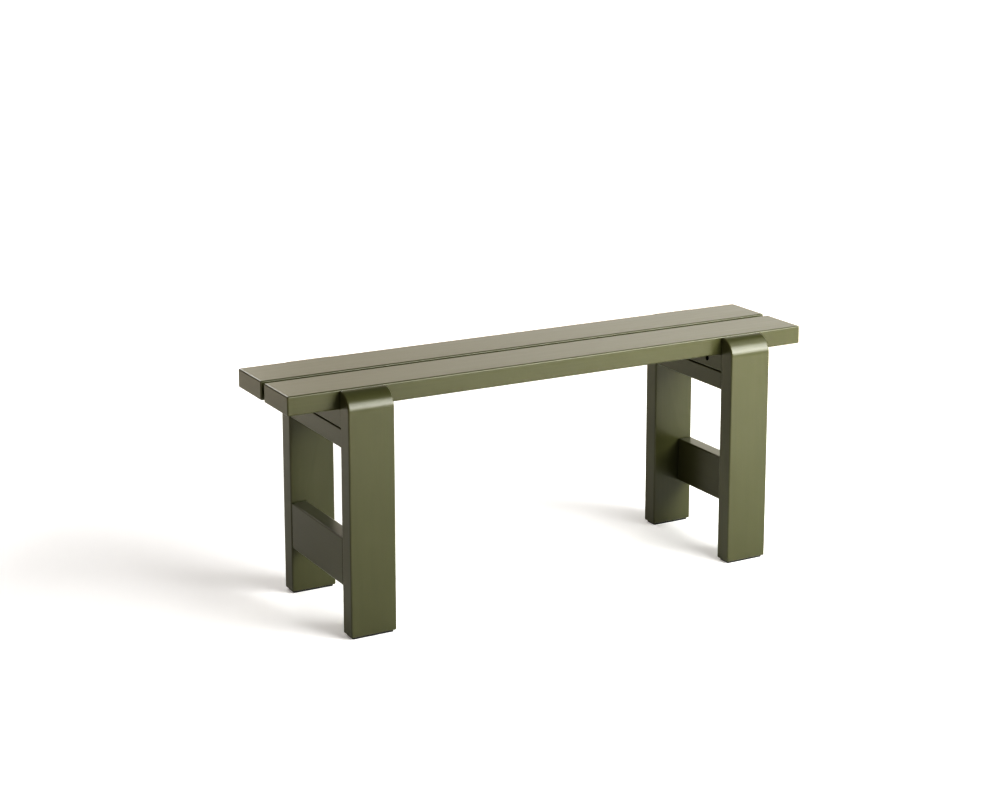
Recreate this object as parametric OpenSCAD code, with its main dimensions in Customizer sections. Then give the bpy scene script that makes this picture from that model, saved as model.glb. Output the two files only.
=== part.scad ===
// Backless bench in lacquered pine. Two seat planks lie lengthwise with a gap between them.
// At each end a frame of two board legs, an upper rail and a stretcher carries them.
// A cleat under the planks sits on each rail and is bolted to it from below.
// Sizes in millimetres. X is the length, Y the depth with the front at -Y, Z up from the floor.

/* [Seat] */
// Length of the seat planks
seat_l = 1110; // [700:10:1600]
// Width between the legs' inner faces, which the two planks fill
seat_w = 230; // [180:1:360]
// Height of the seat's top face above the floor
seat_h = 457; // [400:1:520]
// Thickness of the seat planks
plank_t = 36; // [32:1:45]
// Gap between the two planks
seat_gap = 14; // [6:1:30]
// Clearance between the seat and the legs on each side
seat_fit = 0.3; // [0.1:0.1:0.5]
// Radius that rounds the edges of every board
edge_r = 3; // [1.5:0.5:4]

/* [Legs] */
// Width of a leg board along the bench
leg_w = 90; // [74:1:120]
// Thickness of a leg board
leg_t = 36; // [32:1:45]
// Distance from the end of the seat to the leg
leg_inset = 100; // [20:5:200]
// How far the leg's top stays below the seat's top face
leg_drop = 1.5; // [0.5:0.5:5]

/* [Frame] */
// Height of the upper rail, which lies flat
rail_h = 36; // [32:1:45]
// How far the rail and cleat stand back from the legs' edges
rail_setback = 2; // [0:0.5:6]
// Height of the seat cleat, which lies flat on the rail
cleat_h = 36; // [32:1:45]
// Thickness of the stretcher, which stands on edge
stretcher_t = 31; // [22:1:36]
// Height of the stretcher
stretcher_h = 90; // [70:1:120]
// Height of the stretcher's lower edge above the floor
stretcher_z = 92; // [60:1:140]
// How far the stretcher stands back from the legs' outer edges
stretcher_setback = 1; // [0:0.5:10]

/* [Feet] */
// Thickness of a foot glide
glide_t = 4; // [3:0.5:6]
// Chamfer round the foot of a leg
foot_bevel = 2; // [1:0.5:3]
// How far a glide stands back from the leg's faces
glide_inset = 4; // [2:0.5:8]
// Distance between the two screws of a glide
glide_pitch = 50; // [30:1:60]
// Length of a glide screw
glide_screw_l = 20; // [14:1:30]
// Diameter of a glide screw's shank
glide_screw_d = 3.5; // [3:0.1:4]

/* [Dowels] */
// Diameter of a dowel
dowel_d = 8; // [6:1:10]
// Length of a dowel
dowel_l = 60; // [50:1:70]
// Depth of a dowel in the leg
dowel_in_leg = 24; // [18:1:26]
// Distance between the two dowels of a rail's end
rail_dowel_pitch = 50; // [40:1:56]
// Distance between the two dowels of a stretcher's end
stretcher_dowel_pitch = 50; // [36:1:54]
// Clearance on the diameter of a dowel's hole
dowel_fit = 0.2; // [0.1:0.1:0.4]

/* [Seat screws] */
// Length of a seat screw
seat_screw_l = 58; // [50:1:60]
// Diameter of a seat screw's shank
seat_screw_d = 5; // [4:0.5:6]
// Diameter of a seat screw's head
seat_screw_head_d = 9.6; // [8.5:0.1:11]
// Distance between the two screws of a plank along the bench
seat_screw_pitch = 56; // [50:1:60]
// Distance from the inner edge of a plank to its inner screw
seat_screw_in = 27; // [18:1:36]
// Distance from the outer edge of a plank to its outer screw
seat_screw_out = 23; // [16:1:30]
// Clearance on the diameter of a screw's hole
screw_fit = 0.2; // [0.1:0.1:0.4]

/* [Frame bolts] */
// Diameter of a frame bolt
bolt_d = 6; // [5:1:8]
// Diameter of a frame bolt's head
bolt_head_d = 13; // [11:1:15]
// Height of a frame bolt's head
bolt_head_h = 5; // [4:0.5:6]
// Width of the hex socket in the bolt's head
bolt_socket = 4; // [3:0.5:5]
// Distance from the leg's inner face to the bolt
bolt_from_leg = 51; // [45:1:80]
// Distance from the cleat's inner face to the bolt
bolt_from_face = 30; // [24:1:40]
// Diameter of a washer
washer_d = 16; // [14:1:18]
// Thickness of a washer
washer_t = 1.5; // [1:0.1:2]
// Depth of the counterbore for the bolt's head
counterbore_h = 10; // [8:1:14]
// Clearance on the diameter of a bolt's hole
bolt_fit = 1; // [0.5:0.1:1.5]
// Diameter of a barrel nut
nut_d = 10; // [9:1:12]
// Length of a barrel nut
nut_l = 16; // [14:1:20]
// Clearance on the diameter of the barrel nut's hole
nut_fit = 0.2; // [0.1:0.1:0.4]

/* [Hidden] */
$fn = 0;
seat_half_w = seat_w / 2;
plank_w = (seat_w - seat_gap) / 2 - seat_fit;
plank_y = seat_gap / 2 + plank_w / 2;
plank_z = seat_h - plank_t;
cleat_z = plank_z - cleat_h;
rail_z = cleat_z - rail_h;
rail_w = leg_w - 2 * rail_setback;
leg_x = seat_l / 2 - leg_inset - leg_w / 2;
leg_top = seat_h - leg_drop;
roll_z = leg_top - leg_t;
stretcher_x = leg_x + leg_w / 2 - stretcher_setback - stretcher_t / 2;
dowel_hole_leg = dowel_in_leg + 1;
dowel_hole_rail = dowel_l - dowel_in_leg + 1;
seat_screw_sink = 1;
bolt_x = leg_x - rail_w / 2 + bolt_from_face;
bolt_y = seat_half_w - bolt_from_leg;
nut_z = cleat_z + cleat_h / 2;
bolt_under = rail_z + counterbore_h - washer_t;
bolt_l = nut_z + nut_d / 2 + 4 - bolt_under;
wood = [0.46, 0.46, 0.34];
beech = [0.80, 0.66, 0.46];
steel = [0.70, 0.70, 0.72];
plastic = [0.10, 0.10, 0.10];
cut = 1;

// Which sub-part to draw

// ---- shared shapes ----

// A rectangle centred on the origin with rounded corners
module round_rect(a, b, r) {
    union() {
        square([a - 2 * r, b], center = true);
        square([a, b - 2 * r], center = true);
        for (i = [-1, 1]) {
            for (j = [-1, 1]) {
                translate([i * (a / 2 - r), j * (b / 2 - r)])
                    circle(r = r);
            }
        }
    }
}

// A board centred on the origin with all twelve edges rounded
module board(l, w, h) {
    intersection() {
        linear_extrude(height = h, center = true)
            round_rect(l, w, edge_r);
        rotate([90, 0, 0])
            linear_extrude(height = w, center = true)
                round_rect(l, h, edge_r);
        rotate([90, 0, 90])
            linear_extrude(height = l, center = true)
                round_rect(w, h, edge_r);
    }
}

// The leg's section: its inner face on the Y axis, its outer corners rounded
module leg_section() {
    union() {
        translate([0, -leg_w / 2])
            square([leg_t - edge_r, leg_w]);
        translate([0, -leg_w / 2 + edge_r])
            square([leg_t, leg_w - 2 * edge_r]);
        for (j = [-1, 1]) {
            translate([leg_t - edge_r, j * (leg_w / 2 - edge_r)])
                circle(r = edge_r);
        }
    }
}

// What rounds one inner edge of the leg when it is taken away
module inner_edge_cutter() {
    translate([0, 0, glide_t - cut])
        linear_extrude(height = leg_top)
            difference() {
                translate([-cut, -cut])
                    square([edge_r + cut, edge_r + cut]);
                translate([edge_r, edge_r])
                    circle(r = edge_r);
            }
}

// A countersunk screw pointing up, with the underside of its head at the origin
module wood_screw(d, head_d, l) {
    cone = (head_d - d) / 2;
    slot = head_d * 0.5;
    difference() {
        rotate_extrude()
            polygon([
                [0, 0],
                [head_d / 2, 0],
                [head_d / 2, 0.4],
                [d / 2, cone + 0.4],
                [d / 2, l - d],
                [0, l]
            ]);
        for (a = [0, 90]) {
            rotate([0, 0, a])
                translate([-slot / 2, -head_d * 0.06, -cut])
                    cube([slot, head_d * 0.12, cut + cone * 0.8]);
        }
    }
}

// What a countersunk screw's hole takes away
module screw_hole(d, head_d, l) {
    cone = (head_d - d) / 2;
    half_fit = screw_fit / 2;
    rotate_extrude()
        polygon([
            [0, -cut - 2],
            [head_d / 2 + half_fit, -cut - 2],
            [head_d / 2 + half_fit, 0.4 + half_fit],
            [d / 2 + half_fit, cone + 0.4 + half_fit],
            [d / 2 + half_fit, l + 1],
            [0, l + 1]
        ]);
}

// ---- positions ----

// Puts a frame's pieces at one end: -1 is the left frame and 1 the right frame
module at_end(end) {
    if (end > 0) {
        children();
    } else {
        mirror([1, 0, 0])
            children();
    }
}

// Puts a piece at the front (-1) or at the rear (1)
module at_side(side) {
    if (side > 0) {
        children();
    } else {
        mirror([0, 1, 0])
            children();
    }
}

module at_rail_dowels() {
    for (i = [-1, 1]) {
        translate([leg_x + i * rail_dowel_pitch / 2, seat_half_w, rail_z + rail_h / 2])
            rotate([-90, 0, 0])
                children();
    }
}

module at_stretcher_dowels() {
    for (i = [-1, 1]) {
        translate([stretcher_x, seat_half_w, stretcher_z + stretcher_h / 2 + i * stretcher_dowel_pitch / 2])
            rotate([-90, 0, 0])
                children();
    }
}

module at_glide_screws() {
    for (i = [-1, 1]) {
        translate([leg_x + i * glide_pitch / 2, seat_half_w + leg_t / 2, 0.8])
            children();
    }
}

module at_seat_screws() {
    inner = seat_gap / 2 + seat_screw_in;
    outer = seat_half_w - seat_screw_out;
    for (side = [-1, 1]) {
        translate([leg_x - seat_screw_pitch / 2, side * inner, cleat_z + seat_screw_sink])
            children();
        translate([leg_x + seat_screw_pitch / 2, side * outer, cleat_z + seat_screw_sink])
            children();
    }
}

module at_bolts() {
    for (side = [-1, 1]) {
        translate([bolt_x, side * bolt_y, 0])
            children();
    }
}

// ---- pieces of the right frame, at the rear where there are two ----

module dowel_hole() {
    translate([0, 0, -dowel_hole_rail])
        cylinder(d = dowel_d + dowel_fit, h = dowel_hole_rail + dowel_hole_leg);
}

module dowel() {
    nose = 1;
    translate([0, 0, dowel_in_leg - dowel_l])
        rotate_extrude()
            polygon([
                [0, 0],
                [dowel_d / 2 - nose, 0],
                [dowel_d / 2, nose],
                [dowel_d / 2, dowel_l - nose],
                [dowel_d / 2 - nose, dowel_l],
                [0, dowel_l]
            ]);
}

module leg_blank() {
    union() {
        translate([0, 0, glide_t])
            linear_extrude(height = roll_z - glide_t)
                rotate([0, 0, 90])
                    leg_section();
        translate([0, 0, roll_z])
            rotate([0, -90, 0])
                rotate_extrude(angle = 90)
                    leg_section();
    }
}

// What keeps a chamfer on the leg's lower edges, across a width that starts at "from"
module foot_chamfer(from, width, depth) {
    c = foot_bevel;
    to = from + width;
    rotate([90, 0, 0])
        linear_extrude(height = depth, center = true)
            polygon([
                [from - cut, leg_top + cut],
                [from - cut, glide_t + c + cut],
                [from + c + cut, glide_t - cut],
                [to - c - cut, glide_t - cut],
                [to + cut, glide_t + c + cut],
                [to + cut, leg_top + cut]
            ]);
}

module leg() {
    color(wood)
        difference() {
            translate([leg_x, seat_half_w, 0])
                difference() {
                    intersection() {
                        leg_blank();
                        foot_chamfer(-leg_w / 2, leg_w, 4 * leg_t);
                        rotate([0, 0, 90])
                            foot_chamfer(0, leg_t, 2 * leg_w);
                    }
                    for (i = [0, 1]) {
                        mirror([i, 0, 0])
                            translate([-leg_w / 2, 0, 0])
                                inner_edge_cutter();
                    }
                }
            at_rail_dowels()
                dowel_hole();
            at_stretcher_dowels()
                dowel_hole();
            at_glide_screws()
                screw_hole(glide_screw_d, glide_screw_d * 2, glide_screw_l);
        }
}

module glide() {
    color(plastic)
        difference() {
            translate([leg_x, seat_half_w + leg_t / 2, 0])
                linear_extrude(height = glide_t)
                    round_rect(leg_w - 2 * glide_inset, leg_t - 2 * glide_inset, edge_r);
            at_glide_screws()
                screw_hole(glide_screw_d, glide_screw_d * 2, glide_screw_l);
        }
}

module glide_screws() {
    color(steel)
        at_glide_screws()
            wood_screw(glide_screw_d, glide_screw_d * 2, glide_screw_l);
}

module rail_dowels() {
    color(beech)
        at_rail_dowels()
            dowel();
}

module stretcher_dowels() {
    color(beech)
        at_stretcher_dowels()
            dowel();
}

module rail() {
    color(wood)
        difference() {
            translate([leg_x, 0, rail_z + rail_h / 2])
                board(rail_w, seat_w, rail_h);
            for (side = [-1, 1]) {
                at_side(side)
                    at_rail_dowels()
                        dowel_hole();
            }
            at_bolts() {
                translate([0, 0, rail_z - cut])
                    cylinder(d = bolt_d + bolt_fit, h = rail_h + 2 * cut);
                translate([0, 0, rail_z - cut])
                    cylinder(d = washer_d + bolt_fit, h = counterbore_h + cut);
            }
        }
}

module stretcher() {
    color(wood)
        difference() {
            translate([stretcher_x, 0, stretcher_z + stretcher_h / 2])
                board(stretcher_t, seat_w, stretcher_h);
            for (side = [-1, 1]) {
                at_side(side)
                    at_stretcher_dowels()
                        dowel_hole();
            }
        }
}

module cleat() {
    color(wood)
        difference() {
            translate([leg_x, 0, cleat_z + cleat_h / 2])
                board(rail_w, seat_w - 2 * seat_fit, cleat_h);
            at_seat_screws()
                screw_hole(seat_screw_d, seat_screw_head_d, seat_screw_l);
            at_bolts() {
                translate([0, 0, cleat_z - cut])
                    cylinder(d = bolt_d + bolt_fit, h = cut + cleat_h / 2 + nut_d / 2 + 6);
                translate([-bolt_from_face - cut, 0, nut_z])
                    rotate([0, 90, 0])
                        cylinder(d = nut_d + nut_fit, h = cut + bolt_from_face + nut_l / 2 + nut_fit);
            }
        }
}

module seat_screws() {
    color(steel)
        at_seat_screws()
            wood_screw(seat_screw_d, seat_screw_head_d, seat_screw_l);
}

module frame_bolts() {
    color(steel)
        at_bolts()
            translate([0, 0, bolt_under])
                difference() {
                    union() {
                        translate([0, 0, -bolt_head_h])
                            cylinder(d = bolt_head_d, h = bolt_head_h);
                        cylinder(d = bolt_d, h = bolt_l);
                    }
                    translate([0, 0, -bolt_head_h - cut])
                        cylinder(d = bolt_socket / cos(30), h = cut + 3, $fn = 6);
                }
}

module bolt_washers() {
    color(steel)
        at_bolts()
            translate([0, 0, bolt_under])
                difference() {
                    cylinder(d = washer_d, h = washer_t);
                    translate([0, 0, -cut])
                        cylinder(d = bolt_d + 0.4, h = washer_t + 2 * cut);
                }
}

module barrel_nuts() {
    color(steel)
        at_bolts()
            translate([0, 0, nut_z])
                difference() {
                    rotate([0, 90, 0])
                        cylinder(d = nut_d, h = nut_l, center = true);
                    cylinder(d = bolt_d + 0.2, h = nut_d + 2 * cut, center = true);
                    translate([-nut_l / 2 - cut, -nut_d / 2, -0.6])
                        cube([cut + 1.2, nut_d, 1.2]);
                }
}

module plank() {
    color(wood)
        difference() {
            translate([0, plank_y, plank_z + plank_t / 2])
                board(seat_l, plank_w, plank_t);
            for (end = [-1, 1]) {
                at_end(end)
                    at_seat_screws()
                        screw_hole(seat_screw_d, seat_screw_head_d, seat_screw_l);
            }
        }
}

// ---- sub-parts ----

module seat_plank_front() {
    at_side(-1)
        plank();
}

module seat_plank_rear() {
    plank();
}

module seat_cleat_left() {
    at_end(-1)
        cleat();
}

module seat_cleat_right() {
    at_end(1)
        cleat();
}

module upper_rail_left() {
    at_end(-1)
        rail();
}

module upper_rail_right() {
    at_end(1)
        rail();
}

module stretcher_left() {
    at_end(-1)
        stretcher();
}

module stretcher_right() {
    at_end(1)
        stretcher();
}

module leg_front_left() {
    at_end(-1)
        at_side(-1)
            leg();
}

module leg_rear_left() {
    at_end(-1)
        at_side(1)
            leg();
}

module leg_front_right() {
    at_end(1)
        at_side(-1)
            leg();
}

module leg_rear_right() {
    at_end(1)
        at_side(1)
            leg();
}

module foot_glide_front_left() {
    at_end(-1)
        at_side(-1)
            glide();
}

module foot_glide_rear_left() {
    at_end(-1)
        at_side(1)
            glide();
}

module foot_glide_front_right() {
    at_end(1)
        at_side(-1)
            glide();
}

module foot_glide_rear_right() {
    at_end(1)
        at_side(1)
            glide();
}

module glide_screws_front_left() {
    at_end(-1)
        at_side(-1)
            glide_screws();
}

module glide_screws_rear_left() {
    at_end(-1)
        at_side(1)
            glide_screws();
}

module glide_screws_front_right() {
    at_end(1)
        at_side(-1)
            glide_screws();
}

module glide_screws_rear_right() {
    at_end(1)
        at_side(1)
            glide_screws();
}

module rail_dowels_front_left() {
    at_end(-1)
        at_side(-1)
            rail_dowels();
}

module rail_dowels_rear_left() {
    at_end(-1)
        at_side(1)
            rail_dowels();
}

module rail_dowels_front_right() {
    at_end(1)
        at_side(-1)
            rail_dowels();
}

module rail_dowels_rear_right() {
    at_end(1)
        at_side(1)
            rail_dowels();
}

module stretcher_dowels_front_left() {
    at_end(-1)
        at_side(-1)
            stretcher_dowels();
}

module stretcher_dowels_rear_left() {
    at_end(-1)
        at_side(1)
            stretcher_dowels();
}

module stretcher_dowels_front_right() {
    at_end(1)
        at_side(-1)
            stretcher_dowels();
}

module stretcher_dowels_rear_right() {
    at_end(1)
        at_side(1)
            stretcher_dowels();
}

module seat_screws_left() {
    at_end(-1)
        seat_screws();
}

module seat_screws_right() {
    at_end(1)
        seat_screws();
}

module frame_bolts_left() {
    at_end(-1)
        frame_bolts();
}

module frame_bolts_right() {
    at_end(1)
        frame_bolts();
}

module bolt_washers_left() {
    at_end(-1)
        bolt_washers();
}

module bolt_washers_right() {
    at_end(1)
        bolt_washers();
}

module barrel_nuts_left() {
    at_end(-1)
        barrel_nuts();
}

module barrel_nuts_right() {
    at_end(1)
        barrel_nuts();
}

// ---- drawing ----

seat_plank_front();
seat_plank_rear();
seat_cleat_left();
seat_cleat_right();
upper_rail_left();
upper_rail_right();
stretcher_left();
stretcher_right();
leg_front_left();
leg_rear_left();
leg_front_right();
leg_rear_right();
foot_glide_front_left();
foot_glide_rear_left();
foot_glide_front_right();
foot_glide_rear_right();
glide_screws_front_left();
glide_screws_rear_left();
glide_screws_front_right();
glide_screws_rear_right();
rail_dowels_front_left();
rail_dowels_rear_left();
rail_dowels_front_right();
rail_dowels_rear_right();
stretcher_dowels_front_left();
stretcher_dowels_rear_left();
stretcher_dowels_front_right();
stretcher_dowels_rear_right();
seat_screws_left();
seat_screws_right();
frame_bolts_left();
frame_bolts_right();
bolt_washers_left();
bolt_washers_right();
barrel_nuts_left();
barrel_nuts_right();
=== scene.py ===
# %% [markdown]
# # A backless bench in lacquered pine
# Two planks make the seat, four boards stand outside them as legs, and short boards across the
# bench tie each pair of legs together. Every board has the same softly rounded edges and the same
# satin olive lacquer, so the lesson is about making one board well and then repeating it with care.
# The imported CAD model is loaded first. It fixes every place and size, and the visual pieces are
# made around it. All lengths are metres.

# %% Load the frame
import bpy
import bmesh
import math
from mathutils import Matrix, Vector


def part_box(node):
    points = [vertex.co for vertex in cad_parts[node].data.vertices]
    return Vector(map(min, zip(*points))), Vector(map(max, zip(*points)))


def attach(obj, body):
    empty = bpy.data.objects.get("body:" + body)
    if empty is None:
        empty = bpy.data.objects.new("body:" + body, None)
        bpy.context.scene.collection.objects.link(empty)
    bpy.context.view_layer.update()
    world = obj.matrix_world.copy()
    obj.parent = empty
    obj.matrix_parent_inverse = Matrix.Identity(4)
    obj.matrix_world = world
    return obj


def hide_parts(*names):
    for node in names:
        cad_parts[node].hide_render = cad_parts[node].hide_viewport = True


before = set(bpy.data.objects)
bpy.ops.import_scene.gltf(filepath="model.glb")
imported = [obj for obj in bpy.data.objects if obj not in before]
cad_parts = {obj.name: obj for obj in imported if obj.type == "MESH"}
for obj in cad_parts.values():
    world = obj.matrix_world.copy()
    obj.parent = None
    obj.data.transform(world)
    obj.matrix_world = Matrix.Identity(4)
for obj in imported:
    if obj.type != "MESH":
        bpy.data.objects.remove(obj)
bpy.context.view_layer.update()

# %% [markdown]
# ## Sizes
# A joiner works from a cutting list. Here the list is read from the frame: the box of each board
# gives its length, width and thickness. Only what a box can't tell is written down, such as the
# radius of the edges and how wide a drilled hole is beside its fastener.

# %% The cutting list
EDGE_R = 0.003         # every board's edges are rounded to this radius
EDGE_STEPS = 6         # segments round a rounded edge
ROLL_STEPS = 32        # segments round the leg's rolled top
HOLE_STEPS = 40        # segments round a drilled hole
HOLE_FIT = 0.0001      # a hole's radius is this much over its fastener's
MOUTH = 0.0004         # a drilled hole's mouth is eased by this much
FOOT_R = 0.002         # the lower edges of a leg
SHARP = math.radians(32)   # two faces that meet at more than this make a sharp edge

ENDS = {"left": -1, "right": 1}
SIDES = {"front": -1, "rear": 1}


def box(node):
    """The lowest and highest corner of a CAD node."""
    lo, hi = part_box(node)
    return Vector(lo), Vector(hi)


def centre(node):
    lo, hi = box(node)
    return (lo + hi) / 2


seat_lo, seat_hi = box("seat_plank_front")
leg_lo, leg_hi = box("leg_rear_right")
LEG_T = leg_hi.y - leg_lo.y
SEAT_TOP = seat_hi.z
print("seat top at", round(SEAT_TOP, 4), "leg thickness", round(LEG_T, 4))

# %% [markdown]
# ## The camera
# The bench is seen from its left front corner, from a little above the seat, through a longish lens
# so that its lines stay nearly parallel. The small shift keeps the uprights upright in the picture,
# as a product photographer does with a shift lens.

# %% Place the camera
camera = bpy.data.objects.new("camera", bpy.data.cameras.new("camera"))
camera.location = (-1.8978, -3.3049, 1.4039)
camera.rotation_euler = (math.radians(90 - 11.12), 0, math.radians(-28.98))
camera.data.lens = 73.48
camera.data.sensor_width = 36
camera.data.shift_y = -0.15
camera.data.clip_end = 200
bpy.context.scene.collection.objects.link(camera)
bpy.context.scene.camera = camera
print("camera at", tuple(round(v, 3) for v in camera.location))

# %% [markdown]
# ## The lacquer
# The real finish is an opaque satin lacquer, rolled on thin, so the pine still shows through its
# relief: long faint streaks, and slightly proud growth rings. A picture of wood could be wrapped on,
# but it would stretch over the rounded edges and show the same rings on every board. A solid
# texture is better. Each board gets its own heart, a line beside the board that its rings circle,
# so the long faces show streaks and the ends show arcs, and they agree at the corners.

# %% Small helpers for shader nodes
def new_material(name):
    """A material with an empty node tree, its Principled shader and its output."""
    material = bpy.data.materials.new(name)
    material.use_nodes = True
    tree = material.node_tree
    tree.nodes.clear()
    out = tree.nodes.new("ShaderNodeOutputMaterial")
    shader = tree.nodes.new("ShaderNodeBsdfPrincipled")
    tree.links.new(shader.outputs["BSDF"], out.inputs["Surface"])
    return material, tree, shader


def add(tree, kind, **values):
    """A node with its inputs and settings given by name."""
    node = tree.nodes.new(kind)
    for key, value in values.items():
        if key in node.inputs:
            node.inputs[key].default_value = value
        else:
            setattr(node, key, value)
    return node


def math_node(tree, operation, a, b=None, clamp=False):
    """Joins a and b, each a socket or a number, with one Math node, and returns its output."""
    node = tree.nodes.new("ShaderNodeMath")
    node.operation = operation
    node.use_clamp = clamp
    for socket, value in zip(node.inputs, (a, b)):
        if value is None:
            continue
        if isinstance(value, (int, float)):
            socket.default_value = value
        else:
            tree.links.new(value, socket)
    return node.outputs[0]


def remap(tree, value, low, high, to_low, to_high):
    """Moves a value from one range to another, and stops at its ends."""
    node = add(tree, "ShaderNodeMapRange", clamp=True)
    tree.links.new(value, node.inputs["Value"])
    for key, number in (("From Min", low), ("From Max", high), ("To Min", to_low), ("To Max", to_high)):
        node.inputs[key].default_value = number
    return node.outputs["Result"]


def noise(tree, vector, scale, detail=2.0, roughness=0.5):
    """A Noise texture's value between 0 and 1."""
    node = add(tree, "ShaderNodeTexNoise", Scale=scale, Detail=detail, Roughness=roughness)
    tree.links.new(vector, node.inputs["Vector"])
    return node.outputs["Fac"]


# %% The board's own axes
GRAIN_ORDER = {"x": "XYZ", "y": "YZX", "z": "ZXY"}   # which axis runs along the grain, then the other two


def board_axes(tree, middle, grain):
    """Coordinates from the board's middle: along the grain, then the two ways across it."""
    coords = add(tree, "ShaderNodeTexCoord").outputs["Object"]
    shifted = add(tree, "ShaderNodeVectorMath", operation="SUBTRACT")
    tree.links.new(coords, shifted.inputs[0])
    shifted.inputs[1].default_value = middle
    split = add(tree, "ShaderNodeSeparateXYZ")
    tree.links.new(shifted.outputs[0], split.inputs[0])
    return [split.outputs[axis] for axis in GRAIN_ORDER[grain]]


def combine(tree, *values):
    """A vector from three sockets or numbers."""
    node = add(tree, "ShaderNodeCombineXYZ")
    for socket, value in zip(node.inputs, values):
        if isinstance(value, (int, float)):
            socket.default_value = value
        else:
            tree.links.new(value, socket)
    return node.outputs[0]


# %% The growth rings
RING = 0.0062          # distance from one growth ring to the next
RING_WANDER = 0.012    # how far the rings stray from circles


def growth_rings(tree, axes, heart):
    """How late in the year the wood under a point grew, from 0 in spring to 1 in autumn."""
    along, across_a, across_b = axes
    slow = combine(tree, math_node(tree, "MULTIPLY", along, 1.6), across_a, across_b)
    sway = math_node(tree, "SUBTRACT", noise(tree, slow, 3.0, 1.0), 0.5)
    sway = math_node(tree, "MULTIPLY", sway, RING_WANDER)
    off_a = math_node(tree, "ADD", math_node(tree, "SUBTRACT", across_a, heart[0]), sway)
    off_b = math_node(tree, "ADD", math_node(tree, "SUBTRACT", across_b, heart[1]), sway)
    sum_of_squares = math_node(
        tree, "ADD", math_node(tree, "MULTIPLY", off_a, off_a), math_node(tree, "MULTIPLY", off_b, off_b))
    radius = math_node(tree, "SQRT", sum_of_squares)
    years = math_node(tree, "DIVIDE", radius, RING)
    season = math_node(tree, "FRACT", years)
    rise = remap(tree, season, 0.35, 0.88, 0.0, 1.0)
    fall = remap(tree, season, 0.90, 0.99, 1.0, 0.0)
    return math_node(tree, "MULTIPLY", rise, fall)


# %% [markdown]
# The lacquer levels itself over the wood, so everything under it is softened: the rings stand only
# a few hundredths of a millimetre proud, and the fibres between them less. At the rounded edges the
# film pulls thin and looks a touch paler. An attribute on each board, named edge, says how far into
# a rounded edge a point lies, because the shader can't know that by itself.

# %% The lacquer itself
OLIVE = (0.0715, 0.0735, 0.0330, 1)
OLIVE_LATE = (0.0695, 0.0715, 0.0320, 1)
OLIVE_THIN = (0.080, 0.082, 0.039, 1)


def mix(tree, factor, a, b):
    """One colour turned towards another. Each may be a socket or a colour."""
    node = add(tree, "ShaderNodeMix", data_type="RGBA")
    for index, value in ((0, factor), (6, a), (7, b)):
        if isinstance(value, (int, float, tuple)):
            node.inputs[index].default_value = value
        else:
            tree.links.new(value, node.inputs[index])
    return node.outputs[2]


def olive_lacquer(board, grain, heart):
    """The satin olive lacquer over one board's pine."""
    material, tree, shader = new_material("olive_lacquer_" + board)
    axes = board_axes(tree, centre(board), grain)
    along, across_a, across_b = axes
    late = growth_rings(tree, axes, heart)

    streak_space = combine(tree, math_node(tree, "MULTIPLY", along, 0.02), across_a, across_b)
    streaks = noise(tree, streak_space, 260.0, 3.0, 0.6)
    fibre_space = combine(tree, math_node(tree, "MULTIPLY", along, 0.05), across_a, across_b)
    fibres = noise(tree, fibre_space, 1400.0, 2.0, 0.6)
    level = combine(tree, math_node(tree, "MULTIPLY", along, 0.35), across_a, across_b)
    clouds = noise(tree, level, 22.0, 2.0, 0.5)
    peel = noise(tree, combine(tree, along, across_a, across_b), 420.0, 1.0, 0.4)

    edge = add(tree, "ShaderNodeAttribute", attribute_name="edge").outputs["Fac"]
    worn = math_node(tree, "MULTIPLY", edge, remap(tree, clouds, 0.35, 0.65, 0.25, 0.6), clamp=True)

    colour = mix(tree, math_node(tree, "MULTIPLY", late, 0.8), OLIVE, OLIVE_LATE)
    tone = remap(tree, streaks, 0.3, 0.7, 0.98, 1.02)
    tone = math_node(tree, "MULTIPLY", tone, remap(tree, clouds, 0.3, 0.7, 0.98, 1.02))
    shade = add(tree, "ShaderNodeHueSaturation")
    tree.links.new(tone, shade.inputs["Value"])
    tree.links.new(colour, shade.inputs["Color"])
    colour = mix(tree, worn, shade.outputs[0], OLIVE_THIN)
    tree.links.new(colour, shader.inputs["Base Color"])

    rough = remap(tree, streaks, 0.25, 0.75, 0.28, 0.315)
    tree.links.new(rough, shader.inputs["Roughness"])
    shader.inputs["IOR"].default_value = 1.5

    relief = math_node(tree, "MULTIPLY", late, 0.012)
    relief = math_node(tree, "ADD", relief, math_node(tree, "MULTIPLY", streaks, 0.022))
    relief = math_node(tree, "ADD", relief, math_node(tree, "MULTIPLY", fibres, 0.005))
    relief = math_node(tree, "ADD", relief, math_node(tree, "MULTIPLY", peel, 0.012))
    bump = add(tree, "ShaderNodeBump", Strength=1.0, Distance=0.001)
    tree.links.new(relief, bump.inputs["Height"])
    tree.links.new(bump.outputs[0], shader.inputs["Normal"])
    return material


# %% [markdown]
# ## The other finishes
# Three plain ones: black moulded plastic under the feet, zinc on the screws and bolts, and bare
# beech for the dowels. They are small and mostly hidden, but a part is only as convincing as what
# turns up when it is looked at from below, so each has its own fine texture.

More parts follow.
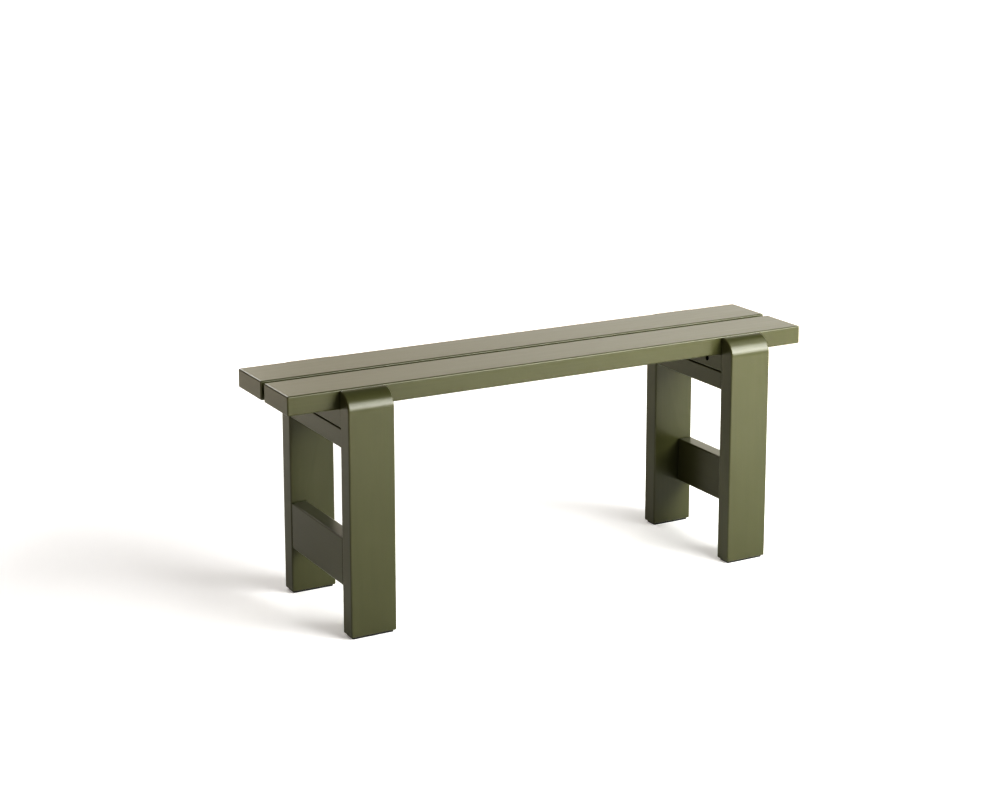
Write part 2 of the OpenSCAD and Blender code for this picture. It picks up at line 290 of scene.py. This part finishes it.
# %% Black plastic, zinc and beech
def glide_plastic():
    """Moulded plastic with a fine spark-eroded grain."""
    material, tree, shader = new_material("glide_plastic")
    coords = add(tree, "ShaderNodeTexCoord").outputs["Object"]
    grain = noise(tree, coords, 1800.0, 2.0, 0.6)
    smear = noise(tree, coords, 60.0, 2.0, 0.5)
    colour = mix(tree, smear, (0.012, 0.012, 0.012, 1), (0.024, 0.023, 0.021, 1))
    tree.links.new(colour, shader.inputs["Base Color"])
    tree.links.new(remap(tree, smear, 0.3, 0.7, 0.48, 0.62), shader.inputs["Roughness"])
    bump = add(tree, "ShaderNodeBump", Strength=0.5, Distance=0.00005)
    tree.links.new(grain, bump.inputs["Height"])
    tree.links.new(bump.outputs[0], shader.inputs["Normal"])
    return material


def zinc_steel():
    """Zinc plating: bright, slightly blue, with a cloudy bloom."""
    material, tree, shader = new_material("zinc_steel")
    coords = add(tree, "ShaderNodeTexCoord").outputs["Object"]
    bloom = noise(tree, coords, 240.0, 3.0, 0.6)
    colour = mix(tree, bloom, (0.50, 0.51, 0.53, 1), (0.68, 0.69, 0.70, 1))
    tree.links.new(colour, shader.inputs["Base Color"])
    tree.links.new(remap(tree, bloom, 0.3, 0.7, 0.26, 0.42), shader.inputs["Roughness"])
    shader.inputs["Metallic"].default_value = 1.0
    bump = add(tree, "ShaderNodeBump", Strength=0.3, Distance=0.00003)
    tree.links.new(bloom, bump.inputs["Height"])
    tree.links.new(bump.outputs[0], shader.inputs["Normal"])
    return material


def bare_beech():
    """Beech dowel rod, with the short dark flecks that beech has."""
    material, tree, shader = new_material("bare_beech")
    coords = add(tree, "ShaderNodeTexCoord").outputs["Object"]
    long_way = add(tree, "ShaderNodeMapping")
    long_way.inputs["Scale"].default_value = (1.0, 0.08, 1.0)
    tree.links.new(coords, long_way.inputs["Vector"])
    flecks = noise(tree, long_way.outputs[0], 1500.0, 2.0, 0.6)
    colour = mix(tree, remap(tree, flecks, 0.45, 0.7, 0.0, 1.0), (0.62, 0.43, 0.25, 1), (0.42, 0.26, 0.14, 1))
    tree.links.new(colour, shader.inputs["Base Color"])
    shader.inputs["Roughness"].default_value = 0.62
    bump = add(tree, "ShaderNodeBump", Strength=0.4, Distance=0.00004)
    tree.links.new(flecks, bump.inputs["Height"])
    tree.links.new(bump.outputs[0], shader.inputs["Normal"])
    return material


# %% [markdown]
# ## Making a board
# A board could be a scaled cube, but then its edges would be sharp and catch no light. It could be
# the CAD board, but its roundings are a few flat strips. So each board starts as a cube, is scaled
# to the box of its CAD node, and its twelve edges are bevelled in six steps, as a router rounds
# them. Weighted normals then keep the wide faces flat to the eye and let only the edges turn.

# %% Shape a plain board
def board_mesh(node):
    """A bmesh of the node's box with all twelve edges rounded."""
    lo, hi = box(node)
    bm = bmesh.new()
    bmesh.ops.create_cube(bm, size=1.0)
    bmesh.ops.scale(bm, vec=hi - lo, verts=bm.verts)
    bmesh.ops.translate(bm, vec=(lo + hi) / 2, verts=bm.verts)
    round_off(bm, lambda edge: True, EDGE_R, EDGE_STEPS)
    return bm


def face_outwards(bm):
    """Turns every face of a solid outwards. A negative volume means that they all face in."""
    bmesh.ops.recalc_face_normals(bm, faces=bm.faces[:])
    if bm.calc_volume(signed=True) < 0:
        bmesh.ops.reverse_faces(bm, faces=bm.faces[:])


def round_off(bm, wanted, radius, steps):
    """Rounds the sharp edges of a solid that are wanted."""
    face_outwards(bm)
    sharp = [e for e in bm.edges if e.calc_face_angle() > SHARP and wanted(e)]
    bmesh.ops.bevel(bm, geom=sharp, offset=radius, offset_type="OFFSET", segments=steps, profile=0.5,
                    affect="EDGES", material=-1)


def mesh_object(bm, name):
    """Turns a bmesh into an object at the origin with its faces pointing outwards."""
    face_outwards(bm)
    mesh = bpy.data.meshes.new(name)
    bm.to_mesh(mesh)
    bm.free()
    piece = bpy.data.objects.new(name, mesh)
    bpy.context.scene.collection.objects.link(piece)
    return piece


# %% [markdown]
# ## Drilling
# The holes could be left out, because most are hidden. But the hole for the barrel nut shows under
# the seat, the sunk bolts show from below, and a board with its true holes can be taken off and
# still be right. Each drill is a profile spun round an axis, the way a cutter is turned on a lathe,
# with a slightly wider mouth. A Boolean then takes all of a board's drills away at once.

# %% Make drills
def drill_mesh(at, direction, profile):
    """A closed turned shape. The profile is (radius, distance along the direction) from mouth to tip."""
    bm = bmesh.new()
    points = [(0.0, profile[0][1])] + list(profile) + [(0.0, profile[-1][1])]
    line = [bm.verts.new((radius, 0.0, along)) for radius, along in points]
    edges = [bm.edges.new(pair) for pair in zip(line, line[1:])]
    bmesh.ops.spin(bm, geom=line + edges, cent=(0, 0, 0), axis=(0, 0, 1), angle=math.tau,
                   steps=HOLE_STEPS, use_merge=True)
    bmesh.ops.remove_doubles(bm, verts=bm.verts, dist=1e-6)
    face_outwards(bm)
    turn = Vector((0, 0, 1)).rotation_difference(Vector(direction)).to_matrix().to_4x4()
    bmesh.ops.transform(bm, matrix=Matrix.Translation(Vector(at)) @ turn, verts=bm.verts)
    return bm


def straight(radius, depth, start=-0.004):
    """The profile of a plain drill with an eased mouth. It starts a little outside the wood."""
    return [(radius + MOUTH, start), (radius + MOUTH, 0.0), (radius, MOUTH), (radius, depth)]


def drill(piece, drills):
    """Takes the drills away from a piece."""
    joined = bmesh.new()
    for at, direction, profile in drills:
        one = drill_mesh(at, direction, profile)
        scratch = bpy.data.meshes.new("scratch")
        one.to_mesh(scratch)
        one.free()
        joined.from_mesh(scratch)
        bpy.data.meshes.remove(scratch)
    cutter_mesh = bpy.data.meshes.new("cutter")
    joined.to_mesh(cutter_mesh)
    joined.free()
    cutter = bpy.data.objects.new("cutter", cutter_mesh)
    bpy.context.scene.collection.objects.link(cutter)
    cut = piece.modifiers.new("drill", "BOOLEAN")
    cut.operation = "DIFFERENCE"
    cut.solver = "EXACT"
    cut.object = cutter
    shape = bpy.data.meshes.new_from_object(piece.evaluated_get(bpy.context.evaluated_depsgraph_get()))
    piece.modifiers.clear()
    piece.data = shape
    bpy.data.objects.remove(cutter)
    bpy.data.meshes.remove(cutter_mesh)


# %% [markdown]
# ## Finishing a piece
# What a piece goes through last: smooth shading that breaks only where a hole meets a face, the
# weighted normals, and the lines that put the piece on its body and hide the CAD node that it stands
# for. The lacquered boards also get the edge attribute for the lacquer.

# %% Finish a piece

def mark_edges(piece, walls, radius):
    """Writes the edge attribute. walls(point) gives the point's depth under each of the piece's walls."""
    layer = piece.data.attributes.new("edge", "FLOAT", "POINT")
    for vertex, value in zip(piece.data.vertices, layer.data):
        second = sorted(walls(vertex.co))[1]
        value.value = min(1.0, max(0.0, 1.0 - second / radius) / 0.7)


def box_walls(node):
    """For a plain board: how deep a point lies under the nearer wall of each of the three pairs."""
    lo, hi = box(node)
    return lambda point: [min(point[i] - lo[i], hi[i] - point[i]) for i in range(3)]


def finish_piece(piece, node, material):
    """Gives a piece its finish and puts it in place of its CAD node."""
    piece.data.materials.clear()
    piece.data.materials.append(material)
    bm = bmesh.new()
    bm.from_mesh(piece.data)
    for face in bm.faces:
        face.smooth = True
    for edge in bm.edges:
        edge.smooth = len(edge.link_faces) == 2 and edge.calc_face_angle() < SHARP
    bm.to_mesh(piece.data)
    bm.free()
    weight = piece.modifiers.new("weighted_normals", "WEIGHTED_NORMAL")
    weight.mode = "FACE_AREA_WITH_ANGLE"
    weight.keep_sharp = True
    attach(piece, "root")
    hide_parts(node)
    print(f"{piece.name}: {len(piece.data.polygons)} faces, {[round(v * 1000, 1) for v in piece.dimensions]} mm")


# %% [markdown]
# ## Where each fastener sits
# A joiner marks out the holes from the fittings. The CAD model holds each row of screws or dowels
# as one node, so its separate solids are found here: a copy of the node's mesh is merged, and the
# faces that hang together are gathered. Each group's box says where one fastener is.

# %% Find the solids of a node
def solids(node):
    """The box of each separate solid of a CAD node, as (lowest corner, highest corner)."""
    bm = bmesh.new()
    bm.from_mesh(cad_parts[node].data)
    bmesh.ops.remove_doubles(bm, verts=bm.verts, dist=1e-6)
    left = set(bm.verts)
    found = []
    while left:
        group = [left.pop()]
        for vertex in group:
            for edge in vertex.link_edges:
                other = edge.other_vert(vertex)
                if other in left:
                    left.remove(other)
                    group.append(other)
        lo = Vector([min(v.co[i] for v in group) for i in range(3)])
        hi = Vector([max(v.co[i] for v in group) for i in range(3)])
        found.append((lo, hi))
    bm.free()
    return sorted(found, key=lambda pair: tuple(round(v, 5) for v in pair[0]))


for row in ("seat_screws_left", "frame_bolts_left", "barrel_nuts_left", "rail_dowels_front_left"):
    print(row, len(solids(row)), "solids")


# %% [markdown]
# ## The holes of each joint
# Four kinds of joint hold the bench together. Beech dowels join the rail and stretcher to the legs.
# Long screws go up through the cleat into the planks. A bolt from below, sunk in the rail, pulls the
# rail and cleat together with a barrel nut that is pushed in from the side. Small screws hold the
# glides. Each function gives the drills of one joint in one board.

# %% Drills for the dowels
DOWEL_FIT = 0.0001
END_GAP = 0.001        # a hole goes this much deeper than its dowel


def dowel_drills(node, board, side):
    """The drills for a row of dowels in one of the two boards that it joins."""
    drills = []
    lo, hi = box(board)
    for dowel_lo, dowel_hi in solids(node):
        middle = (dowel_lo + dowel_hi) / 2
        radius = (dowel_hi.x - dowel_lo.x) / 2 + DOWEL_FIT
        board_middle = (lo.y + hi.y) / 2
        is_leg = abs(board_middle) > abs(middle.y)
        if is_leg:
            face = lo.y if side > 0 else hi.y
            direction = side
            tip = dowel_hi.y if side > 0 else dowel_lo.y
        else:
            face = hi.y if side > 0 else lo.y
            direction = -side
            tip = dowel_lo.y if side > 0 else dowel_hi.y
        depth = abs(tip - face) + END_GAP
        drills.append(((middle.x, face, middle.z), (0, direction, 0), straight(radius, depth)))
    return drills


# %% Drills for the screws
SEAT_SHANK_R = 0.0025
GLIDE_SHANK_R = 0.00175
RIM = 0.0004           # the straight rim of a countersunk head


def screw_drills(node, board, shank_r):
    """The drills for a row of screws, which all point up, in one of the boards that they hold."""
    drills = []
    board_lo, board_hi = box(board)
    for lo, hi in solids(node):
        head_r = (hi.x - lo.x) / 2
        shaft = shank_r + HOLE_FIT
        tip = hi.z + END_GAP - board_lo.z
        if lo.z > board_lo.z - 1e-6:
            seat = lo.z + RIM + HOLE_FIT - board_lo.z
            head = head_r + HOLE_FIT
            profile = [(head, -0.004), (head, seat), (shaft, seat + head_r - shank_r), (shaft, tip)]
        else:
            head_top = lo.z + RIM + head_r - shank_r - board_lo.z
            mouth = max(shaft, shaft + head_top)
            profile = [(mouth, -0.004), (mouth, 0.0), (shaft, mouth - shaft + 1e-5), (shaft, tip)]
        drills.append((((lo.x + hi.x) / 2, (lo.y + hi.y) / 2, board_lo.z), (0, 0, 1), profile))
    return drills


# %% Drills for the bolts and barrel nuts
BOLT_R = 0.003
BOLT_FIT = 0.0005


def bolt_drills(end, board):
    """The drills for the two bolts of one end, with their counterbores where the board is the rail."""
    drills = []
    board_lo, board_hi = box(board)
    washers = solids(f"bolt_washers_{end}")
    for (lo, hi), (washer_lo, washer_hi) in zip(solids(f"frame_bolts_{end}"), washers):
        at = ((lo.x + hi.x) / 2, (lo.y + hi.y) / 2, board_lo.z)
        shaft = BOLT_R + BOLT_FIT
        if washer_lo.z > board_lo.z:
            wide = (washer_hi.x - washer_lo.x) / 2 + BOLT_FIT
            floor = washer_hi.z - board_lo.z
            through = board_hi.z - board_lo.z + 0.004
            profile = [(wide + MOUTH, -0.004), (wide + MOUTH, 0.0), (wide, MOUTH), (wide, floor),
                       (shaft, floor), (shaft, through)]
        else:
            profile = straight(shaft, hi.z - board_lo.z + 0.002)
        drills.append((at, (0, 0, 1), profile))
    return drills


def nut_drills(end, board):
    """The drills for the two barrel nuts of one end, from the cleat's inner face."""
    drills = []
    lo, hi = box(board)
    inwards = -ENDS[end]
    face = hi.x if inwards > 0 else lo.x
    for nut_lo, nut_hi in solids(f"barrel_nuts_{end}"):
        tip = nut_lo.x if inwards > 0 else nut_hi.x
        radius = (nut_hi.z - nut_lo.z) / 2 + HOLE_FIT
        at = (face, (nut_lo.y + nut_hi.y) / 2, (nut_lo.z + nut_hi.z) / 2)
        drills.append((at, (-inwards, 0, 0), straight(radius, abs(face - tip) + 0.0002)))
    return drills


# %% [markdown]
# ## The seat
# Two planks of the same pine, laid with a gap for rain to fall through. They are the largest faces
# of the bench, so their hearts are placed far below and to one side, as in boards sawn well away
# from the middle of the log: the rings then run nearly flat across the width.

# %% Make the planks
HEARTS = {
    "seat_plank_front": (0.020, -0.110), "seat_plank_rear": (-0.035, -0.135),
    "seat_cleat_left": (0.060, 0.075), "seat_cleat_right": (0.055, -0.080),
    "upper_rail_left": (-0.070, 0.060), "upper_rail_right": (-0.065, 0.050),
    "stretcher_left": (0.090, 0.030), "stretcher_right": (0.080, -0.045),
    "leg_front_left": (0.010, 0.105), "leg_rear_left": (-0.020, -0.120),
    "leg_front_right": (-0.025, 0.115), "leg_rear_right": (0.030, -0.100),
}

for side in SIDES:
    node = f"seat_plank_{side}"
    plank = mesh_object(board_mesh(node), f"pine_seat_plank_{side}")
    mark_edges(plank, box_walls(node), EDGE_R)
    drill(plank, [d for end in ENDS for d in screw_drills(f"seat_screws_{end}", node, SEAT_SHANK_R)
                  if abs(d[0][1] - centre(node).y) < (seat_hi.y - seat_lo.y) / 2])
    finish_piece(plank, node, olive_lacquer(node, "x", HEARTS[node]))


# %% [markdown]
# ## The legs
# A leg is a board whose top is rolled over to meet the seat, a quarter round as deep as the board is
# thick. The roll catches the overhead light in one long soft line, so it has to be truly round.
# Bevelling the corner of a cube by its whole thickness would leave no face at the top. Instead a
# point is spun through the quarter turn, the outline is closed down to the foot, filled, and pushed
# out to the board's width. Then the edges are rounded like those of the other boards.

# %% Make the legs
def leg_mesh(node, side):
    """A bmesh of one leg board with its rolled top and rounded edges."""
    lo, hi = box(node)
    inner, outer = (lo.y, hi.y) if side > 0 else (hi.y, lo.y)
    roll_z = hi.z - LEG_T
    last = EDGE_R / LEG_T              # the roll stops one edge radius short of the seat
    bm = bmesh.new()
    start = bm.verts.new((lo.x, outer, roll_z))
    spun = bmesh.ops.spin(bm, geom=[start], cent=(lo.x, inner, roll_z), axis=(1, 0, 0),
                          angle=side * (math.pi / 2 - last), steps=ROLL_STEPS)
    end = [v for v in spun["geom_last"] if isinstance(v, bmesh.types.BMVert)][0]
    corner = bm.verts.new((lo.x, inner, hi.z))
    foot_in = bm.verts.new((lo.x, inner, lo.z))
    foot_out = bm.verts.new((lo.x, outer, lo.z))
    for pair in ((end, corner), (corner, foot_in), (foot_in, foot_out), (foot_out, start)):
        bm.edges.new(pair)
    outline = bmesh.ops.contextual_create(bm, geom=bm.edges[:])["faces"]
    pushed = bmesh.ops.extrude_face_region(bm, geom=outline)
    moved = [v for v in pushed["geom"] if isinstance(v, bmesh.types.BMVert)]
    bmesh.ops.translate(bm, vec=(hi.x - lo.x, 0, 0), verts=moved)
    round_off(bm, lambda edge: not at_foot(edge, lo.z), EDGE_R, EDGE_STEPS)
    round_off(bm, lambda edge: at_foot(edge, lo.z), FOOT_R, 4)
    return bm


def at_foot(edge, foot_z):
    return all(abs(v.co.z - foot_z) < 1e-6 for v in edge.verts)


def leg_walls(node, side):
    """For a leg: its depth under the sides, the foot, the inner face, and the outer face or the roll."""
    lo, hi = box(node)
    inner = lo.y if side > 0 else hi.y
    roll_z = hi.z - LEG_T

    def walls(point):
        into = abs(point.y - inner)
        under_outer = LEG_T - into
        if point.z > roll_z:
            under_outer = LEG_T - math.hypot(into, point.z - roll_z)
        return [min(point.x - lo.x, hi.x - point.x), point.z - lo.z, into, under_outer]
    return walls


for end in ENDS:
    for side, way in SIDES.items():
        node = f"leg_{side}_{end}"
        leg = mesh_object(leg_mesh(node, way), f"pine_leg_{side}_{end}")
        mark_edges(leg, leg_walls(node, way), EDGE_R)
        drill(leg, dowel_drills(f"rail_dowels_{side}_{end}", node, way)
              + dowel_drills(f"stretcher_dowels_{side}_{end}", node, way)
              + screw_drills(f"glide_screws_{side}_{end}", node, GLIDE_SHANK_R))
        finish_piece(leg, node, olive_lacquer(node, "z", HEARTS[node]))


# %% [markdown]
# ## The boards between the legs
# At each end a rail lies flat between the two legs with a cleat on top of it, and a stretcher stands
# on edge lower down. They are plain boards, so the same maker serves for all. Only their holes differ.

# %% Make the rails, cleats and stretchers
for end in ENDS:
    for kind in ("seat_cleat", "upper_rail", "stretcher"):
        node = f"{kind}_{end}"
        piece = mesh_object(board_mesh(node), f"pine_{node}")
        mark_edges(piece, box_walls(node), EDGE_R)
        if kind == "seat_cleat":
            drills = screw_drills(f"seat_screws_{end}", node, SEAT_SHANK_R)
            drills += bolt_drills(end, node) + nut_drills(end, node)
        elif kind == "upper_rail":
            drills = bolt_drills(end, node)
            for side, way in SIDES.items():
                drills += dowel_drills(f"rail_dowels_{side}_{end}", node, way)
        else:
            drills = []
            for side, way in SIDES.items():
                drills += dowel_drills(f"stretcher_dowels_{side}_{end}", node, way)
        drill(piece, drills)
        finish_piece(piece, node, olive_lacquer(node, "y", HEARTS[node]))


# %% [markdown]
# ## The feet
# A thin plastic glide keeps the end grain off the wet ground. It is a moulded plate, so its outline
# has rounded corners and its rim a small radius, and two countersunk holes take its screws.

# %% Make the glides
GLIDE_CORNER = 0.003
GLIDE_RIM = 0.0006

plastic = glide_plastic()
for end in ENDS:
    for side in SIDES:
        node = f"foot_glide_{side}_{end}"
        lo, hi = box(node)
        bm = bmesh.new()
        bmesh.ops.create_cube(bm, size=1.0)
        bmesh.ops.scale(bm, vec=hi - lo, verts=bm.verts)
        bmesh.ops.translate(bm, vec=(lo + hi) / 2, verts=bm.verts)
        upright = [e for e in bm.edges if abs(e.verts[0].co.z - e.verts[1].co.z) > 1e-5]
        bmesh.ops.bevel(bm, geom=upright, offset=GLIDE_CORNER, offset_type="OFFSET",
                        segments=EDGE_STEPS, profile=0.5, affect="EDGES", material=-1)
        round_off(bm, lambda edge: abs(edge.verts[0].co.z - edge.verts[1].co.z) < 1e-6, GLIDE_RIM, 3)
        glide = mesh_object(bm, f"moulded_glide_{side}_{end}")
        drill(glide, screw_drills(f"glide_screws_{side}_{end}", node, GLIDE_SHANK_R))
        finish_piece(glide, node, plastic)

# %% [markdown]
# ## Dowels and steel
# The dowels and all the steel keep their CAD shapes, and only take a finish.

# %% Give the fasteners their finish
zinc = zinc_steel()
beech = bare_beech()
for name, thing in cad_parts.items():
    if "dowels" in name:
        finish = beech
    elif "screws" in name or "bolt" in name or "nuts" in name:
        finish = zinc
    else:
        continue
    thing.data.materials.clear()
    thing.data.materials.append(finish)
print("finished", sum("dowel" in n or "screw" in n or "bolt" in n or "nut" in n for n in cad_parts), "nodes")

# %% [markdown]
# ## The studio floor
# The floor is a plain pale sweep that runs out of sight, so no horizon shows. It glows a little of
# itself, and more with distance: painted light in place of lamps on the paper. That keeps the ground
# white to the edge of the picture and paints the shadow under the bench pale. Far out the glow turns
# warm, a painted warm reflection in the boards that mirror it.

# %% Lay the floor
FLOOR_SIZE = 40.0
# The floor's own glow, from GLOW_NEAR by the bench to GLOW_FAR far out, is painted light that lightens the floor
# and the shadow under the bench.
GLOW_NEAR = 0.17
GLOW_FAR = 0.66
PAPER = (0.885, 0.885, 0.88, 1)
# The far glow's warm tint is painted light: a painted warm reflection in the boards that mirror the floor.
WARM_GLOW = (1.08, 0.95, 0.78, 1)   # still white in the picture, but the boards that mirror it turn warm


def paper_floor():
    """The pale paper that the bench stands on."""
    bm = bmesh.new()
    bmesh.ops.create_grid(bm, x_segments=1, y_segments=1, size=FLOOR_SIZE)
    sheet = mesh_object(bm, "studio_floor")
    material, tree, shader = new_material("pale_floor")
    coords = add(tree, "ShaderNodeTexCoord").outputs["Object"]
    mottle = noise(tree, coords, 3.0, 2.0, 0.5)
    colour = mix(tree, mottle, PAPER, (0.90, 0.90, 0.895, 1))
    tree.links.new(colour, shader.inputs["Base Color"])
    away = add(tree, "ShaderNodeVectorMath", operation="LENGTH")
    tree.links.new(coords, away.inputs[0])
    # Painted light: the glow grows with distance from the bench, and far out it turns warm for a painted
    # reflection in the boards.
    glow = remap(tree, away.outputs["Value"], 1.0, 3.0, GLOW_NEAR, GLOW_FAR)
    tree.links.new(glow, shader.inputs["Emission Strength"])
    warm_glow_share = remap(tree, away.outputs["Value"], 1.2, 2.0, 0.0, 1.0)
    tree.links.new(mix(tree, warm_glow_share, (1, 1, 1, 1), WARM_GLOW), shader.inputs["Emission Color"])
    shader.inputs["Roughness"].default_value = 0.8
    shader.inputs["Specular IOR Level"].default_value = 0.1
    sheet.data.materials.append(material)
    return sheet


floor = paper_floor()
print("floor", FLOOR_SIZE * 2, "m across")

# %% [markdown]
# ## The lamps
# Each light has one job. The key is a large soft box at the front right, low enough to shine along
# the floor: it lights the faces towards the viewer, draws the bright line on the rolled legs, and
# throws the soft shadow to the left. A second, lower box carries that light down the legs. A weaker
# box further round to the right widens the shadows, and one behind the bench lights its back.
# Because nothing strong shines from above, the level tops of the rolls stay dark.

# %% Put up the lamps
def bearing(azimuth, elevation):
    """A direction: azimuth 0 is the front of the bench and 90 its right end."""
    a, e = math.radians(azimuth), math.radians(elevation)
    return Vector((math.sin(a) * math.cos(e), -math.cos(a) * math.cos(e), math.sin(e)))


def aim(thing, target):
    """Turns a lamp so that it shines on a point."""
    thing.rotation_euler = (Vector(target) - thing.location).to_track_quat("-Z", "Y").to_euler()


BENCH_MIDDLE = Vector((0, 0, 0.35))


def soft_box(name, azimuth, elevation, distance, size, power):
    """A rectangular soft box that shines on the middle of the bench."""
    data = bpy.data.lights.new(name, "AREA")
    data.shape = "RECTANGLE"
    data.size, data.size_y = size
    data.energy = power
    box_lamp = bpy.data.objects.new(name, data)
    box_lamp.location = BENCH_MIDDLE + bearing(azimuth, elevation) * distance
    bpy.context.scene.collection.objects.link(box_lamp)
    aim(box_lamp, BENCH_MIDDLE)
    return box_lamp


soft_box("key_box", 31, 27, 2.8, (2.2, 1.6), 74)
soft_box("low_box", 31, 15, 2.8, (2.2, 0.8), 23.5)
soft_box("side_box", 66, 34, 2.4, (1.6, 1.6), 10.5)
soft_box("rear_box", 188, 30, 3.0, (1.6, 1.2), 18)

# %% [markdown]
# ## The surroundings
# A satin surface shows what stands around it. The seat is seen at a shallow angle, where even a dull
# lacquer turns into a mirror, so what stands behind the bench decides its colour: a warm pale wall
# there is why the seat looks beige while the sides look green. The rest of the room is dim.

# %% Light the room
def surroundings():
    """A dim room with a pale wall behind the bench. The camera itself sees plain white."""
    world = bpy.data.worlds.new("studio")
    bpy.context.scene.world = world
    world.use_nodes = True
    tree = world.node_tree
    tree.nodes.clear()
    direction = add(tree, "ShaderNodeTexCoord").outputs["Generated"]
    split = add(tree, "ShaderNodeSeparateXYZ")
    tree.links.new(direction, split.inputs[0])

    def patch(azimuth, elevation, inner, outer):
        """A round patch of light with a soft rim between two angles from its middle."""
        towards = add(tree, "ShaderNodeVectorMath", operation="DOT_PRODUCT")
        tree.links.new(direction, towards.inputs[0])
        towards.inputs[1].default_value = bearing(azimuth, elevation)
        rim = add(tree, "ShaderNodeMapRange", interpolation_type="SMOOTHSTEP")
        tree.links.new(towards.outputs["Value"], rim.inputs["Value"])
        rim.inputs["From Min"].default_value = math.cos(math.radians(outer))
        rim.inputs["From Max"].default_value = math.cos(math.radians(inner))
        return rim.outputs["Result"]

    ceiling = math_node(tree, "MAXIMUM", split.outputs["Z"], 0.0)
    total = None
    for name, shape, strength, tint in (
            ("ceiling", ceiling, 0.148, (1.0, 1.0, 1.0, 1)),
            ("left_wall", patch(262, 12, 15, 60), 0.18, (1.0, 0.62, 0.4, 1)),
            ("back_wall", patch(203, 24, 8, 36), 0.22, (1.06, 0.97, 0.85, 1)),
            ("warm_wall", patch(151, 10, 12, 32), 0.776, (1.075, 0.97, 0.81, 1)),
            ("cool_wall", patch(130, 12, 12, 32), 0.366, (0.93, 1.0, 1.16, 1))):
        background = add(tree, "ShaderNodeBackground", Color=tint)
        background.name = name
        level = math_node(tree, "MULTIPLY", shape, strength)
        tree.links.new(level, background.inputs["Strength"])
        if total is None:
            total = background.outputs[0]
            continue
        both = add(tree, "ShaderNodeAddShader")
        tree.links.new(total, both.inputs[0])
        tree.links.new(background.outputs[0], both.inputs[1])
        total = both.outputs[0]
    white = add(tree, "ShaderNodeBackground", Color=(1, 1, 1, 1), Strength=1.0)
    rays = add(tree, "ShaderNodeLightPath")
    chooser = add(tree, "ShaderNodeMixShader")
    tree.links.new(rays.outputs["Is Camera Ray"], chooser.inputs[0])
    tree.links.new(total, chooser.inputs[1])
    tree.links.new(white.outputs[0], chooser.inputs[2])
    out = add(tree, "ShaderNodeOutputWorld")
    tree.links.new(chooser.outputs[0], out.inputs["Surface"])


surroundings()

# %% [markdown]
# ## Development
# Blender's default view softens whites for film-like pictures. A studio packshot has a clean white
# ground and deep darks, so the plain Standard view is used, with its strongest contrast.

# %% Set the view
bpy.context.scene.view_settings.view_transform = "Standard"
bpy.context.scene.view_settings.look = "Very High Contrast"
